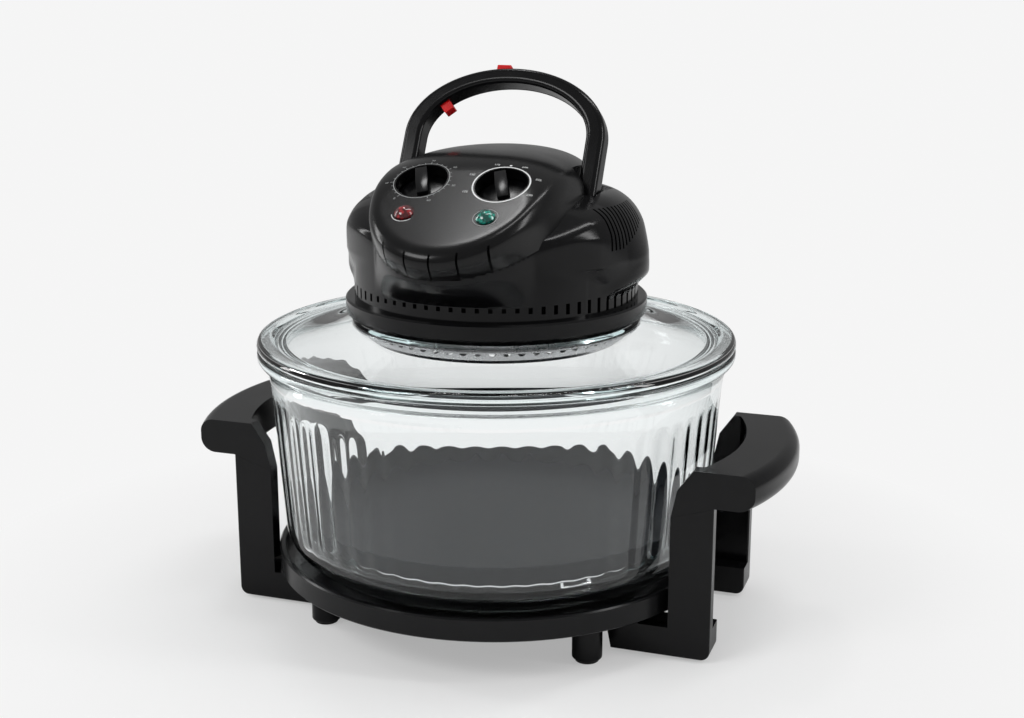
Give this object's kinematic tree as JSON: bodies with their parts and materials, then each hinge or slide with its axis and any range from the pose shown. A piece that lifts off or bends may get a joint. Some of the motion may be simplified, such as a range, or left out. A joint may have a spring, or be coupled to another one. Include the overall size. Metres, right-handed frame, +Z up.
{
  "type": "halogen bowl oven",
  "caption": "Tabletop glass bowl oven in a footed stand with side grips; its lift-off glass lid carries a domed heater head with knobs, lamps and a swinging carry handle.",
  "frame": {"origin": "bottom centre of the stand's feet, under the bowl's axis", "axes": "+Z up along the bowl's axis, -Y towards the controls, +X to the user's right at the side grip"},
  "size_m": [0.422, 0.33, 0.3734],
  "materials": {
    "black_plastic": "satin gloss moulded",
    "fascia_plastic": "gloss moulded",
    "leg_plastic": "satin moulded",
    "red_plastic": "gloss moulded",
    "red_lens": "clear gloss",
    "green_lens": "clear gloss",
    "glass": "clear polished, pressed",
    "wire_chrome": "bright plated wire",
    "tray_steel": "dark non-stick coat",
    "guard_steel": "bright pressed sheet",
    "plain_steel": "turned",
    "laminations": "varnished stack",
    "copper_winding": "enamelled wire",
    "quartz": "clear fused",
    "ceramic": "unglazed",
    "fan_plastic": "moulded",
    "foot_rubber": "matte"
  },
  "bodies": {
    "stand": {"stand_ring": "leg_plastic", "stand_feet": "leg_plastic", "foot_pads": "foot_rubber", "leg_front_right": "leg_plastic", "leg_front_left": "leg_plastic", "leg_rear_right": "leg_plastic", "leg_rear_left": "leg_plastic", "leg_screws": "plain_steel", "grip_right": "leg_plastic", "grip_left": "leg_plastic"},
    "bowl": {"glass_bowl": "glass"},
    "rack": {"wire_rack": "wire_chrome"},
    "tray": {"baking_tray": "tray_steel"},
    "lid": {"glass_lid": "glass", "retaining_ring": "guard_steel", "clamp_screws": "plain_steel", "head_flange": "black_plastic", "reflector": "guard_steel", "fan_guard": "guard_steel", "halogen_tube": "quartz", "tube_ends": "ceramic", "tube_clips": "plain_steel", "motor_stator": "laminations", "motor_coil": "copper_winding", "motor_bridges": "plain_steel", "motor_bracket": "guard_steel", "head_housing": "black_plastic", "top_cover": "fascia_plastic", "pivot_pins": "plain_steel", "timer_unit": "ceramic", "thermostat_unit": "ceramic", "power_lens": "red_lens", "heat_lens": "green_lens", "lamp_holders": "fan_plastic", "cord_gland": "black_plastic", "terminal_block": "ceramic", "thermal_cutout": "plain_steel"},
    "fans": {"motor_shaft": "plain_steel", "motor_rotor": "laminations", "convection_fan": "guard_steel", "fan_nut": "plain_steel", "cooling_fan": "fan_plastic"},
    "handle": {"handle_arch": "black_plastic", "handle_insert": "black_plastic"},
    "lock_trigger": {"lock_trigger": "red_plastic"},
    "release_button": {"release_button": "red_plastic"},
    "timer_knob": {"timer_knob": "black_plastic"},
    "thermostat_knob": {"thermostat_knob": "black_plastic"}
  },
  "joints": [
    {"name": "bowl_lift", "type": "slide", "parent": "stand", "child": "bowl", "axis": [0, 0, 1], "range_m": [0, 0.08]},
    {"name": "rack_lift", "type": "slide", "parent": "bowl", "child": "rack", "axis": [0, 0, 1], "range_m": [0, 0.05]},
    {"name": "tray_lift", "type": "slide", "parent": "rack", "child": "tray", "axis": [0, 0, 1], "range_m": [0, 0.04]},
    {"name": "lid_lift", "type": "slide", "parent": "bowl", "child": "lid", "axis": [0, 0, 1], "range_m": [0, 0.12]},
    {"name": "fan_spin", "type": "hinge", "parent": "lid", "child": "fans", "pos_m": [0, 0, 0.22], "axis": [0, 0, 1], "continuous": true},
    {"name": "handle_swing", "type": "hinge", "parent": "lid", "child": "handle", "pos_m": [0, -0.002, 0.29], "axis": [-1, 0, 0], "range_deg": [-29, 32]},
    {"name": "trigger_slide", "type": "slide", "parent": "handle", "child": "lock_trigger", "axis": [-0.6568, 0.3656, 0.6595], "range_m": [0, 0.003], "stiffness_N_per_m": 400},
    {"name": "button_press", "type": "slide", "parent": "handle", "child": "release_button", "axis": [0, -0.4848, -0.8746], "range_m": [0, 0.0025], "stiffness_N_per_m": 500},
    {"name": "timer_turn", "type": "hinge", "parent": "lid", "child": "timer_knob", "pos_m": [-0.0272, -0.06615, 0.30659], "axis": [0, -0.4985, 0.8669], "range_deg": [-300, 0]},
    {"name": "thermostat_turn", "type": "hinge", "parent": "lid", "child": "thermostat_knob", "pos_m": [0.0272, -0.06615, 0.30659], "axis": [0, -0.4985, 0.8669], "range_deg": [-270, 0]}
  ]
}
